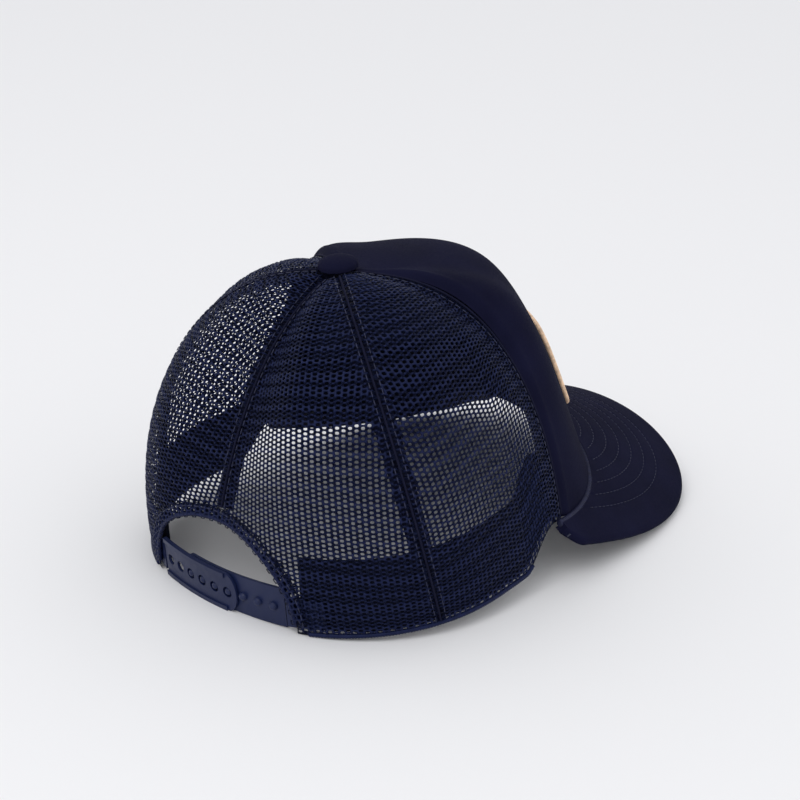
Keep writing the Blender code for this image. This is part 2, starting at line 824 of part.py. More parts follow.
def make_snap_strap():
    """The outer strap has the holes and its rims, and snaps over the inner strap's pegs."""
    root = strap_arc()[0].x
    middle = STRAP_BOTTOM + STRAP_HEIGHT / 2
    depth = STRAP_SPACING / 2
    hinge = strap_point(root, middle, depth)
    clear, past_hole, past_peg, rim_stop = 0.0002, 0.0026, 0.0045, 0.0055
    last_hole = FIRST_HOLE_X - (HOLES - 1) * STRAP_PITCH
    end = last_hole - HOLE_RADIUS - past_hole
    outer = strap_object("outer_strap", root - clear, end, depth, hinge)
    edges = rims(root - 2 * clear, end + rim_stop)
    add_boolean(outer, wrapped_mesh("outer_strap_rims", edges, depth, hinge), "UNION")
    add_boolean(outer, wrapped_mesh("outer_strap_holes", holes(), depth, hinge), "DIFFERENCE")
    hinge = strap_point(-root, middle, -depth)
    inner = strap_object("inner_strap", clear - root, FIRST_PEG_X + past_peg, -depth, hinge)
    add_boolean(inner, wrapped_mesh("inner_strap_pegs", pegs(), -depth, hinge), "UNION")


def make_strap_tabs():
    """The thinned end of each strap, sewn between the mesh and the sweatband."""
    thickness, low, high = 0.0009, 0.0026, 0.86 * STRAP_HEIGHT
    start, sweep = angle_at_x(-strap_arc()[0].x) - 1.2, 11.0
    out = -(MESH_THICKNESS + 0.0004)
    for side, name in ((-1, "outer_strap_tab"), (1, "inner_strap_tab")):

        def point(across, along, side=side):
            degrees = side * (start - sweep * across)
            lean = crown_at(degrees, rise_at_length(degrees, high), out)
            foot = crown_at(degrees, rise_at_length(degrees, low), out)
            return foot + (lean - foot) * along

        turn = flipped if side < 0 else (lambda point: point)
        sheet_object(name, turn(point), 4, 2, thickness, LOOKS["strap"])


# --- assembly -----------------------------------------------------------------------------------

clear_scene()
PARTS = new_collection("trucker_cap")
CUTTERS = new_collection("trucker_cap_cutters")
CAP_FRAME = bpy.data.objects.new("cap_frame", None)
PARTS.objects.link(CAP_FRAME)
CAP_FRAME.rotation_euler = (-TILT, 0.0, 0.0)
CAP_FRAME.location = REST_PLACE
LOOKS = {
    "knit": material("navy_knit", NAVY, 0.85),
    "mesh": material("navy_mesh", NAVY_MESH, 0.6),
    "foam": material("foam", FOAM_BLUE, 0.95),
    "tape": material("seam_tape", NAVY, 0.9),
    "sweatband": material("sweatband_cotton", BLACK, 0.95),
    "board": material("visor_board_plastic", NAVY_PLASTIC, 0.5),
    "strap": material("strap_plastic", NAVY_PLASTIC, 0.45),
    "steel": material("washer_steel", STEEL, 0.35, 1.0),
    "patch": material("patch_twill", CREAM, 0.9),
    "patch_edge": material("patch_thread", PEACH, 0.8),
    "label": material("label_satin", CREAM, 0.7),
}

make_front_panel()
make_mesh_panels()
make_seam_tapes()
make_arch_hem()
make_hem_bindings()
make_sweatband()
make_visor()
make_visor_seam_cord()
make_button()
make_patch()
make_label()
make_snap_strap()
make_strap_tabs()
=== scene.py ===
import math

import bmesh
import bpy
import numpy as np
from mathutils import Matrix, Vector


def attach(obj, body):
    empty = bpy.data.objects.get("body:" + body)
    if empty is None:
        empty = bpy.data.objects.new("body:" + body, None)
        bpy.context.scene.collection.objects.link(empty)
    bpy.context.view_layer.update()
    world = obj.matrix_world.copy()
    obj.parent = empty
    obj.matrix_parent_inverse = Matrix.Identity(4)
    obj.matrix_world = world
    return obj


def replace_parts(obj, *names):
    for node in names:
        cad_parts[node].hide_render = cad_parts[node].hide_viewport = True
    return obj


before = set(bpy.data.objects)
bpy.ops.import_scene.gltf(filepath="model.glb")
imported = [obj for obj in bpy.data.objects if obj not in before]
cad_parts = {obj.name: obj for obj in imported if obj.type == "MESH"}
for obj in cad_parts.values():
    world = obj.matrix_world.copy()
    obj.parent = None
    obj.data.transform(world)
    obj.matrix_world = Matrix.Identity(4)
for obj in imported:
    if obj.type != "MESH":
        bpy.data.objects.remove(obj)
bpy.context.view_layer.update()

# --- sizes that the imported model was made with, in metres ---

FRONT_LENGTH = 0.1100
BACK_LENGTH = 0.0765
HALF_WIDTH = 0.0865
FRONT_FULLNESS = 2.50
BACK_FULLNESS = 2.15
BUTTON_Y = -0.0100
CROWN_HEIGHT = 0.1165
TILT = math.radians(6.7)
REST_PLACE = (0.0, 0.0489, 0.0079)
SECTIONS = (
    (0.0, 0.782, 0.915, 5.5),
    (30.0, 0.737, 0.913, 3.45),
    (58.0, 0.842, 0.984, 1.11),
    (85.0, 0.980, 1.118, 0.85),
    (112.0, 1.133, 1.222, 0.56),
    (146.0, 1.056, 1.136, 0.76),
    (180.0, 0.819, 0.956, 0.75),
)
FRONT_SEAM = (61.4, 51.1)
SIDE_SEAM = (110.1, 128.0)
CENTRE_SEAM = (180.0, 180.0)
VISOR_JOINT_HEIGHT = 0.0200
VISOR_BEND_RADIUS = 0.0978
VISOR_SLOPE = 0.415
VISOR_CORNER = 66.0
VISOR_LENGTH = 0.0640
VISOR_HALF_WIDTH = 0.0925
VISOR_FULLNESS = 2.90
VISOR_TAPER = 0.08
VISOR_END = 0.985
MESH_THICKNESS = 0.0008
COVER_THICKNESS = 0.0006
FOAM_THICKNESS = 0.0040
FRONT_PUFF = 0.0018
PUFF_NEAR = 0.010
PUFF_FAR = 0.035
GAP = 0.0005
TOP_REACH = 0.0070
TAPE_WIDTH = 0.0100
TAPE_THICKNESS = 0.0007
SWEATBAND_HEIGHT = 0.0300
SWEATBAND_THICKNESS = 0.0014
SWEATBAND_END = 149.0
SEAM_CORD_REACH = 0.0018
SEAM_CORD_RISE = 0.0012
ARCH_HALF_WIDTH = 0.0390
ARCH_HEIGHT = 0.0370
ARCH_HEM_WIDTH = 0.0060
ARCH_FULLNESS = 2.4
BUTTON_RADIUS = 0.0083
BUTTON_RISE = 0.0048
PATCH_HALF_WIDTH = 0.0500
PATCH_HALF_HEIGHT = 0.0200
PATCH_CENTRE_HEIGHT = 0.0395
PATCH_CORNER = 0.0080
PATCH_THICKNESS = 0.0012
PATCH_EDGE_RADIUS = 0.0011
PATCH_EDGE_GAP = 0.0003

# --- sizes of the finer work, in metres ---

VISOR_TOP = 0.0031  # heights of the visor's two faces over its middle surface
VISOR_UNDER = -0.0013
VISOR_GAP = 0.0008  # between the visor and the crown's hem
VISOR_ROWS = [0.0140 + 0.0062 * k for k in range(7)]  # distances of the stitch rows from the edge
SEAM_FOOT = 0.012  # rise at which a seam's ridge and stitches start
SEAM_TOP_REACH = 0.0078  # and how near to the button's axis they come
TAPE_FOOT = 0.06
TAPE_TOP_REACH = 0.0125
STITCH_RADIUS = 0.0002
LONG_STITCH_PITCH = 0.0034
ROPE_STEPS = 5.0  # rings for each thread of a rope
LIFT = 0.001  # how far a second point lies from the first, where two points give a direction

# the knitted mesh: columns of holes, each column half a row lower than the next
MESH_COLUMN = 0.00245
MESH_ROW = 0.00185
MESH_HOLE = (0.00076, 0.00056)  # half its width and half its height
MESH_HOLE_FULLNESS = 2.6
MESH_TOP_REACH = 0.0062
MESH_SHOULDER = 0.00105  # half width of a cell along its top edge

FINE = 1.0  # share of the full number of rows in the smooth sheets


# --- the crown's shape, in the cap's own frame ---


def placed(points):
    """From the cap's own frame to the row frame, visor up."""
    x, y, z = points[..., 0], points[..., 1], points[..., 2]
    c, s = math.cos(TILT), math.sin(TILT)
    moved = np.stack([x, y * c + z * s, z * c - y * s], axis=-1)
    return moved + np.array(REST_PLACE)


def smooth(share):
    share = np.clip(share, 0.0, 1.0)
    return share * share * (3.0 - 2.0 * share)


def signed_degrees(degrees):
    return (degrees + 180.0) % 360.0 - 180.0


def super_round(a, b, power):
    """Radius of a superellipse, from its direction's parts over its half axes."""
    return (np.abs(a) ** power + np.abs(b) ** power) ** (-1.0 / power)


def hem_plan(degrees):
    c, s = np.cos(np.radians(degrees)), np.sin(np.radians(degrees))
    power = np.where(c > 0, FRONT_FULLNESS, BACK_FULLNESS)
    length = np.where(c > 0, FRONT_LENGTH, BACK_LENGTH)
    radius = super_round(c / length, s / HALF_WIDTH, power)
    return -s * radius, -c * radius


def visor_height(x, y):
    return VISOR_JOINT_HEIGHT - x * x / (2.0 * VISOR_BEND_RADIUS) + VISOR_SLOPE * (y + FRONT_LENGTH)


def hem_height(degrees):
    x, y = hem_plan(degrees)
    height = visor_height(x, y)
    raised = 0.5 * (height + np.sqrt(height * height + 0.003 * 0.003))
    share = np.abs(signed_degrees(degrees)) / VISOR_CORNER
    return raised * (1.0 - smooth((share - 0.98) / 0.22))


def section(degrees):
    angle = np.abs(signed_degrees(degrees))
    found = [np.full_like(angle, value) for value in SECTIONS[0][1:]]
    for low, high in zip(SECTIONS, SECTIONS[1:]):
        share = smooth((angle - low[0]) / (high[0] - low[0]))
        for k in range(3):
            found[k] = found[k] + (high[k + 1] - low[k + 1]) * share
    return found


def crown_point(degrees, rise):
    """Points of the crown's outer surface: rise is 0 at the hem and 1 at the button."""
    degrees, rise = np.broadcast_arrays(np.asarray(degrees, float), np.asarray(rise, float))
    x, y = hem_plan(degrees)
    reach = np.hypot(x, y - BUTTON_Y)
    corner_reach, corner_height, weight = section(degrees)
    down, both, up = (1 - rise) ** 2, 2 * weight * (1 - rise) * rise, rise * rise
    total = down + both + up
    radius = (down * reach + both * corner_reach * reach) / total
    height = down * hem_height(degrees) + both * corner_height * CROWN_HEIGHT + up * CROWN_HEIGHT
    plan_y = BUTTON_Y + (y - BUTTON_Y) / reach * radius
    return np.stack([x / reach * radius, plan_y, height / total], axis=-1)


def unit(vectors):
    return vectors / np.maximum(np.linalg.norm(vectors, axis=-1, keepdims=True), 1e-12)


def crown_normal(degrees, rise):
    rise_step, degree_step = 1e-3, 0.2
    low, high = np.clip(rise - rise_step, 0, 1), np.clip(rise + rise_step, 0, 1)
    across = crown_point(degrees + degree_step, rise) - crown_point(degrees - degree_step, rise)
    along = crown_point(degrees, high) - crown_point(degrees, low)
    return unit(np.cross(along, across))


def crown_at(degrees, rise, out):
    rise = np.clip(rise, 0.0, 0.999)
    out = np.asarray(out, float)[..., None]
    return crown_point(degrees, rise) + crown_normal(degrees, rise) * out


def on_crown(degrees, rise, out):
    """Points this far out from the crown's surface, in the row frame."""
    return placed(crown_at(degrees, rise, out))


def line_on_crown(degrees, rise, out):
    """A line this far out from the crown, and the crown's normals along it."""
    points = on_crown(degrees, rise, out)
    return points, unit(on_crown(degrees, rise, out + LIFT) - points)


def reach_of(points):
    return np.hypot(points[..., 0], points[..., 1] - BUTTON_Y)


def rise_at_length(degrees, length):
    """The rise this far up the section from the hem, measured along the cloth."""
    degrees, length = np.broadcast_arrays(np.asarray(degrees, float), np.asarray(length, float))
    shape = degrees.shape
    degrees, length = degrees.ravel(), length.ravel()
    count = 80
    line = crown_point(degrees[:, None], np.linspace(0.0, 1.0, count + 1)[None, :])
    gone = np.linalg.norm(np.diff(line, axis=1), axis=2)
    gone = np.concatenate([np.zeros((len(degrees), 1)), np.cumsum(gone, axis=1)], axis=1)
    place = np.clip((gone < length[:, None]).sum(axis=1) - 1, 0, count - 1)
    pick = np.arange(len(degrees))
    start, end = gone[pick, place], gone[pick, place + 1]
    share = np.clip((length - start) / (end - start), 0.0, 1.0)
    return ((place + share) / count).reshape(shape)


def rise_at_reach(degrees, reach):
    """The rise at which the section comes this near to the button's axis."""
    low, high = np.full_like(degrees, 0.5), np.ones_like(degrees)
    for _ in range(30):
        middle = (low + high) / 2
        far = reach_of(crown_point(degrees, middle)) > reach
        low, high = np.where(far, middle, low), np.where(far, high, middle)
    return high


def seam_angle(seam, rise):
    return seam[0] + (seam[1] - seam[0]) * rise


def angle_at_x(x):
    """The angle, near the back, at which the hem has this x."""
    degrees = np.linspace(90.0, 270.0, 721)
    return np.interp(x, hem_plan(degrees)[0], degrees)


def arch_place(turn, grow):
    """Angle and rise of points round the back opening, moved outwards from its edge by grow."""
    angle = np.pi * turn
    power = 2.0 / ARCH_FULLNESS
    c, s = np.cos(angle), np.sin(angle)
    x = -(ARCH_HALF_WIDTH + grow) * np.sign(c) * np.abs(c) ** power
    climb = (ARCH_HEIGHT + grow) * np.abs(s) ** power
    degrees = angle_at_x(x)
    return degrees, rise_at_length(degrees, climb)


def front_puff(degrees, rise):
    share = np.abs(signed_degrees(degrees)) / seam_angle(FRONT_SEAM, rise)
    near_top = smooth((reach_of(crown_point(degrees, rise)) - PUFF_NEAR) / (PUFF_FAR - PUFF_NEAR))
    return FRONT_PUFF * (1.0 - np.clip(share, 0.0, 1.0) ** 8) * near_top


# --- meshes ---


def ride_on_crown(name, data, look, slot):
    """The mesh as a piece of its own, in the row frame."""
    made = bpy.data.objects.new(name, data)
    bpy.context.scene.collection.objects.link(made)
    data.materials.append(LOOKS[look])
    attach(made, "crown")
    return made


def turn_faces_out(data, merge=0.0):
    shape = bmesh.new()
    shape.from_mesh(data)
    if merge:
        bmesh.ops.dissolve_degenerate(shape, dist=merge, edges=shape.edges)
    bmesh.ops.recalc_face_normals(shape, faces=shape.faces)
    shape.to_mesh(data)
    shape.free()
    data.shade_smooth()


def add_piece(name, points, faces, look, slot, angle=60.0):
    """A smooth piece with sharp edges where its faces turn by more than the angle."""
    data = bpy.data.meshes.new(name)
    data.from_pydata(points.tolist(), [], faces.tolist())
    data.update()
    data.shade_smooth()
    data.set_sharp_from_angle(angle=math.radians(angle))
    return ride_on_crown(name, data, look, slot)


def outward(points, faces):
    """The faces of a closed mesh, turned to face out."""
    a, b, c = (points[faces[:, k]] for k in range(3))
    volume = np.einsum("ij,ij->i", a, np.cross(b, c)).sum()
    if faces.shape[1] == 4:
        d = points[faces[:, 3]]
        volume += np.einsum("ij,ij->i", a, np.cross(c, d)).sum()
    return faces[:, ::-1] if volume < 0 else faces


def grid_faces(rows, columns):
    first = (np.arange(rows - 1)[:, None] * columns + np.arange(columns - 1)[None, :]).ravel()
    return np.stack([first, first + 1, first + columns + 1, first + columns], axis=1)


def shell(upper, lower):
    """One closed mesh between two grids of points with the same rows and columns."""
    rows, columns = upper.shape[:2]
    count = rows * columns
    faces = [grid_faces(rows, columns), grid_faces(rows, columns)[:, ::-1] + count]
    index = np.arange(count).reshape(rows, columns)
    ring = np.concatenate([index[0, :-1], index[:-1, -1], index[-1, :0:-1], index[:0:-1, 0]])
    after = np.roll(ring, -1)
    faces.append(np.stack([after, ring, ring + count, after + count], axis=1))
    points = np.concatenate([upper.reshape(-1, 3), lower.reshape(-1, 3)])
    faces = np.concatenate(faces)
    return points, outward(points, faces)


def sweep(path, normal, outline, closed):
    """A tube along a path, capped unless it is closed: outline holds a ring of (sideways, out) for
    each point of the path."""
    ahead = np.roll(path, -1, axis=0) - np.roll(path, 1, axis=0)
    if not closed:
        ahead[0], ahead[-1] = path[1] - path[0], path[-1] - path[-2]
    ahead = unit(ahead)
    side = unit(np.cross(ahead, normal))
    up = np.cross(side, ahead)
    rings = path[:, None, :] + side[:, None, :] * outline[..., :1] + up[:, None, :] * outline[..., 1:]
    rows, columns = rings.shape[:2]
    if closed:
        rings = np.concatenate([rings, rings[:1]])
        rows += 1
    rings = np.concatenate([rings, rings[:, :1]], axis=1)
    points = rings.reshape(-1, 3)
    faces = grid_faces(rows, columns + 1)
    parts = [points]
    if not closed:
        caps = []
        for row in (0, rows - 1):
            ring = row * (columns + 1) + np.arange(columns)
            middle = len(points) + len(parts) - 1
            parts.append(rings[row, :columns].mean(axis=0)[None])
            after = ring + 1
            order = (ring, after) if row else (after, ring)
            centre = np.full(columns, middle)
            caps.append(np.stack([centre, order[0], order[1], order[1]], axis=1))
        faces = np.concatenate([faces] + caps)
    return weld(np.concatenate(parts), faces)


def weld(points, faces):
    keys = np.round(points * 1e7).astype(np.int64)
    _, first, index = np.unique(keys, axis=0, return_index=True, return_inverse=True)
    return points[first], index.reshape(-1)[faces]


def to_polygons(faces):
    """Quads that repeat their last corner become triangles."""
    return [row[:3] if row[2] == row[3] else row for row in faces.tolist()]


def resample(path, pitch):
    """Points at an even spacing along a path, with their distances."""
    steps = np.linalg.norm(np.diff(path, axis=0), axis=1)
    gone = np.concatenate([[0.0], np.cumsum(steps)])
    count = max(2, int(round(gone[-1] / pitch)) + 1)
    place = np.linspace(0.0, gone[-1], count)
    return np.stack([np.interp(place, gone, path[:, k]) for k in range(3)], axis=1), place


def spread_evenly(values, count):
    """As many values as asked for, blended from a row of them."""
    blend = np.linspace(0, len(values) - 1, count)
    return np.stack([np.interp(blend, np.arange(len(values)), values[:, k]) for k in range(3)], axis=1)


def rope(name, path, normal, radius, pitch, relief, look, slot, lean=1.0, sides=10, closed=False):
    """A round cord or overlocked edge whose threads run round it at a lean."""
    route, place = resample(path, pitch / ROPE_STEPS)
    normals = spread_evenly(normal, len(route))
    if closed:
        route, place, normals = route[:-1], place[:-1], normals[:-1]
        pitch = (place[-1] + place[1]) / round((place[-1] + place[1]) / pitch)
    turn = np.linspace(0, 2 * np.pi, sides, endpoint=False)
    wave = np.abs(np.sin(np.pi * place[:, None] / pitch + lean * turn[None, :]))
    reach = radius * (1.0 - relief + relief * np.sqrt(wave))
    outline = np.stack([np.cos(turn) * reach, np.sin(turn) * reach], axis=-1)
    points, faces = sweep(route, normals, outline, closed)
    data = bpy.data.meshes.new(name)
    data.from_pydata(points.tolist(), [], to_polygons(faces))
    turn_faces_out(data)
    return ride_on_crown(name, data, look, slot)


def stitch_template():
    """A short thread: a low ellipsoid along its first axis, with square-ish ends."""
    rings, sides = 5, 6
    points, faces = [(-1.0, 0.0, 0.0)], []
    for i in range(1, rings):
        along = -math.cos(math.pi * i / rings)
        radius = math.sin(math.pi * i / rings) ** 0.6
        for j in range(sides):
            angle = 2 * math.pi * j / sides
            points.append((along, radius * math.cos(angle), radius * math.sin(angle)))
    points.append((1.0, 0.0, 0.0))
    last = len(points) - 1
    for j in range(sides):
        k = (j + 1) % sides
        faces.append((0, 1 + k, 1 + j, 1 + j))
        faces.append((last, last - sides + j, last - sides + k, last - sides + k))
        for i in range(rings - 2):
            a, b = 1 + i * sides, 1 + (i + 1) * sides
            faces.append((a + j, a + k, b + k, b + j))
    return np.array(points), np.array(faces)


def stitches(name, lines, pitch, length, look):
    """Rows of stitches along lines of (path, normals)."""
    shape, faces = stitch_template()
    all_points, all_faces, count = [], [], 0
    for path, normal in lines:
        route, _ = resample(path, pitch)
        up = spread_evenly(normal, len(route))
        middle = (route[1:] + route[:-1]) / 2
        ahead = unit(route[1:] - route[:-1])
        up = unit((up[1:] + up[:-1]) / 2)
        side = np.cross(ahead, up)
        points = (
            middle[:, None]
            + ahead[:, None] * shape[None, :, :1] * length / 2
            + side[:, None] * shape[None, :, 1:2] * STITCH_RADIUS
            + up[:, None] * shape[None, :, 2:] * STITCH_RADIUS
        )
        start = count + np.arange(len(middle)) * len(shape)
        all_points.append(points.reshape(-1, 3))
        all_faces.append((faces[None] + start[:, None, None]).reshape(-1, 4))
        count += len(middle) * len(shape)
    data = bpy.data.meshes.new(name)
    data.from_pydata(np.concatenate(all_points).tolist(), [], to_polygons(np.concatenate(all_faces)))
    data.shade_smooth()
    ride_on_crown(name, data, look, "navy_knit")


# --- knitted mesh ---


def cell_outline():
    """Twelve points round one cell, the matching points round its hole, and the yarn's half
    thickness at each: junctions are thick and the cross links thin."""
    half = MESH_ROW / 2
    point, shoulder = MESH_COLUMN - MESH_SHOULDER, MESH_SHOULDER
    corners = [(point, 0.0), (shoulder, half), (-shoulder, half)]
    corners += [(-point, 0.0), (-shoulder, -half), (shoulder, -half)]
    outline, thick = [], []
    for a, b in zip(corners, corners[1:] + corners[:1]):
        level = abs(a[1] - b[1]) < 1e-9
        outline += [a, ((a[0] + b[0]) / 2, (a[1] + b[1]) / 2)]
        thick += [0.00044, 0.00024 if level else 0.00038]
    outline = np.array(outline)
    angle = np.arctan2(outline[:, 1], outline[:, 0])
    radius = super_round(np.cos(angle) / MESH_HOLE[0], np.sin(angle) / MESH_HOLE[1], MESH_HOLE_FULLNESS)
    hole = np.stack([np.cos(angle), np.sin(angle)], axis=1) * radius[:, None]
    return outline, hole, np.array(thick)


def lattice(u_range, v_range):
    """Centres of the cells that cover a rectangle of cloth."""
    columns = np.arange(math.floor(u_range[0] / MESH_COLUMN), math.ceil(u_range[1] / MESH_COLUMN) + 1)
    rows = np.arange(math.floor(v_range[0] / MESH_ROW) - 1, math.ceil(v_range[1] / MESH_ROW) + 1)
    u, v = np.meshgrid(columns, rows)
    v = v + 0.5 * (u % 2)
    return np.stack([u.ravel() * MESH_COLUMN, v.ravel() * MESH_ROW], axis=1)


def knit(centres, snap):
    """Cells joined into one closed net: (u, v, out) of its points, and its quads."""
    outline, hole, thick = cell_outline()
    ring = (centres[:, None] + outline[None]).reshape(-1, 2)
    thickness = np.tile(thick, len(centres))
    keys = np.round(ring * 1e6).astype(np.int64)
    _, first, index = np.unique(keys, axis=0, return_index=True, return_inverse=True)
    index = index.reshape(len(centres), 12)
    edges = np.sort(np.stack([index, np.roll(index, -1, axis=1)], axis=-1).reshape(-1, 2), axis=1)
    kept, uses = np.unique(edges, axis=0, return_counts=True)
    border = np.zeros(len(first), bool)
    border[kept[uses == 1].ravel()] = True
    joint, depth = ring[first], thickness[first]
    joint[border] = snap(joint[border])
    depth = np.where(border, 0.0, depth)
    count = len(first)
    lower = np.where(border, np.arange(count), np.arange(count) + count)
    holes = (centres[:, None] + hole[None]).reshape(-1, 2)
    inner = 2 * count + np.arange(len(holes)).reshape(len(centres), 12)
    after, inner_after = np.roll(index, -1, axis=1), np.roll(inner, -1, axis=1)
    top = np.stack([index, after, inner_after, inner], axis=-1).reshape(-1, 4)
    under = np.stack([lower[after], lower[index], inner, inner_after], axis=-1).reshape(-1, 4)
    flat = np.concatenate([joint, joint, holes])
    out = np.concatenate([depth, -depth, np.zeros(len(holes))])
    faces = np.concatenate([top, under])
    used = np.unique(faces)
    renumber = np.zeros(len(flat), np.int64)
    renumber[used] = np.arange(len(used))
    return flat[used], out[used], renumber[faces]


def panel_table(first_seam, last_seam):
    """Flat coordinates of a panel's cloth: distance up its middle and distance from its middle."""
    beyond = 5.0  # degrees past each seam
    rises = np.linspace(0.0, 0.995, 150)
    middle = (seam_angle(first_seam, rises) + seam_angle(last_seam, rises)) / 2
    line = crown_point(middle, rises)
    height = np.concatenate([[0.0], np.cumsum(np.linalg.norm(np.diff(line, axis=0), axis=1))])
    spans, rows = [], []
    for rise, centre in zip(rises, middle):
        first, last = seam_angle(first_seam, rise), seam_angle(last_seam, rise)
        degrees = np.linspace(first - beyond, last + beyond, 91)
        row = crown_point(degrees, np.full_like(degrees, rise))
        across = np.concatenate([[0.0], np.cumsum(np.linalg.norm(np.diff(row, axis=0), axis=1))])
        spans.append(degrees)
        rows.append(across - np.interp(centre, degrees, across))
    return rises, height, np.array(spans), np.array(rows)


def panel_limits(table, first_seam, last_seam):
    """The flat coordinates of both seams at each height up the panel."""
    rises, height, spans, rows = table
    first = [np.interp(seam_angle(first_seam, r), s, w) for r, s, w in zip(rises, spans, rows)]
    last = [np.interp(seam_angle(last_seam, r), s, w) for r, s, w in zip(rises, spans, rows)]
    return height, np.array(first), np.array(last)


def panel_places(table, flat):
    """Angle and rise of flat coordinates."""
    rises, height, spans, rows = table
    rise = np.interp(flat[:, 1], height, rises)
    place = rise / rises[-1] * (len(rises) - 1)
    row = np.clip(place.astype(int), 0, len(rises) - 2)
    degrees = np.empty(len(flat))
    for k in np.unique(row):
        picked = row == k
        share = place[picked] - k
        low = np.interp(flat[picked, 0], rows[k], spans[k])
        high = np.interp(flat[picked, 0], rows[k + 1], spans[k + 1])
        degrees[picked] = low + (high - low) * share
    return degrees, rise


def climb_at(degrees, rise):
    """Distance up the section from the hem."""
    steps = np.linspace(0.0, 1.0, 25)
    line = crown_point(degrees[:, None], rise[:, None] * steps[None, :])
    return np.linalg.norm(np.diff(line, axis=1), axis=2).sum(axis=1)


def in_arch(degrees, rise, grow):
    x = np.abs(hem_plan(degrees)[0]) / (ARCH_HALF_WIDTH + grow)
    climb = climb_at(degrees, rise) / (ARCH_HEIGHT + grow)
    return (x**ARCH_FULLNESS + climb**ARCH_FULLNESS < 1.0) & (degrees > 120.0)


def make_mesh_panel(name, side, first_seam, last_seam, node, flat_size, area):
    table = panel_table(first_seam, last_seam)
    height, first, last = panel_limits(table, first_seam, last_seam)
    top_rise = rise_at_reach(np.array([seam_angle(last_seam, 1.0)]), MESH_TOP_REACH)[0]
    top = np.interp(top_rise, table[0], height)
    centres = lattice((first.min(), last.max()), (0.0, top))
    low = np.interp(centres[:, 1], height, first)
    high = np.interp(centres[:, 1], height, last)
    margin = 0.45 * MESH_COLUMN
    keep = (centres[:, 0] > low + margin) & (centres[:, 0] < high - margin)
    keep &= (centres[:, 1] > 0.6 * MESH_ROW) & (centres[:, 1] < top)
    centres = centres[keep]
    degrees, rise = panel_places(table, centres)
    if last_seam is CENTRE_SEAM:
        keep = ~in_arch(degrees, rise, 0.45 * ARCH_HEM_WIDTH)
        centres = centres[keep]

    def snap(points):
        """Cells on the panel's edge reach its seams and its hem."""
        low = np.interp(points[:, 1], height, first) + 0.0002
        high = np.interp(points[:, 1], height, last) - 0.0002
        u = np.where(points[:, 0] < low + 0.8 * MESH_COLUMN, low, points[:, 0])
        u = np.where(points[:, 0] > high - 0.8 * MESH_COLUMN, high, u)
        v = np.where(points[:, 1] < 1.2 * MESH_ROW, 0.0004, points[:, 1])
        return np.stack([u, v], axis=1)

    flat, out, faces = knit(centres, snap)
    degrees, rise = panel_places(table, flat)
    points = on_crown(side * degrees, rise, out - MESH_THICKNESS / 2)
    made = add_piece(name, points, outward(points, faces), "mesh", "navy_mesh", angle=180.0)
    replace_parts(made, node)


# --- materials ---


NOISE_RANGE = (0.3, 0.7)  # where most of a noise's values lie


class Look:
    """A Principled material with a few procedural layers, all in the object's own coordinates."""

    def __init__(self, name, colour, roughness, metallic=0.0, **settings):
        self.material = bpy.data.materials.new(name)
        self.material.use_nodes = True
        self.tree = self.material.node_tree
        self.shader = self.tree.nodes["Principled BSDF"]
        self.shader.inputs["Base Color"].default_value = (*colour, 1.0)
        self.shader.inputs["Roughness"].default_value = roughness
        self.shader.inputs["Metallic"].default_value = metallic
        for key, value in settings.items():
            self.shader.inputs[key.replace("_", " ")].default_value = value
        self.material.diffuse_color = (*colour, 1.0)
        self.where = self.add("ShaderNodeTexCoord").outputs["Object"]
        self.heights = []

    def add(self, kind):
        return self.tree.nodes.new(kind)

    def link(self, output, socket):
        self.tree.links.new(output, socket)

    def noise(self, scale, detail=2.0):
        node = self.add("ShaderNodeTexNoise")
        node.inputs["Scale"].default_value = scale
        node.inputs["Detail"].default_value = detail
        self.link(self.where, node.inputs["Vector"])
        return node.outputs["Fac"]

    def cells(self, scale):
        node = self.add("ShaderNodeTexVoronoi")
        node.inputs["Scale"].default_value = scale
        self.link(self.where, node.inputs["Vector"])
        return node.outputs["Distance"]

    def bands(self, scale, direction):
        node = self.add("ShaderNodeTexWave")
        node.bands_direction = direction
        node.inputs["Scale"].default_value = scale
        self.link(self.where, node.inputs["Vector"])
        return node.outputs["Fac"]

    def tint(self, factor, first, second):
        """The colour runs from first to second as the factor rises."""
        ramp = self.add("ShaderNodeValToRGB")
        for element, place, colour in zip(ramp.color_ramp.elements, NOISE_RANGE, (first, second)):
            element.position = place
            element.color = (*colour, 1.0)
        self.link(factor, ramp.inputs["Fac"])
        self.link(ramp.outputs["Color"], self.shader.inputs["Base Color"])

    def matte(self, factor, low, high):
        """The roughness runs from low to high as the factor rises."""
        node = self.add("ShaderNodeMapRange")
        for key, value in zip(("From Min", "From Max", "To Min", "To Max"), (*NOISE_RANGE, low, high)):
            node.inputs[key].default_value = value
        self.link(factor, node.inputs["Value"])
        self.link(node.outputs["Result"], self.shader.inputs["Roughness"])

    def raised(self, factor, depth, strength):
        """One bump layer on top of the last."""
        bump = self.add("ShaderNodeBump")
        bump.inputs["Distance"].default_value = depth
        bump.inputs["Strength"].default_value = strength
        self.link(factor, bump.inputs["Height"])
        if self.heights:
            self.link(self.heights[-1], bump.inputs["Normal"])
        self.heights.append(bump.outputs["Normal"])
        self.link(bump.outputs["Normal"], self.shader.inputs["Normal"])


def shades(colour, share):
    """A colour made darker and made lighter by a share."""
    return [tuple(max(0.0, c * (1 + way * share)) for c in colour) for way in (-1, 1)]


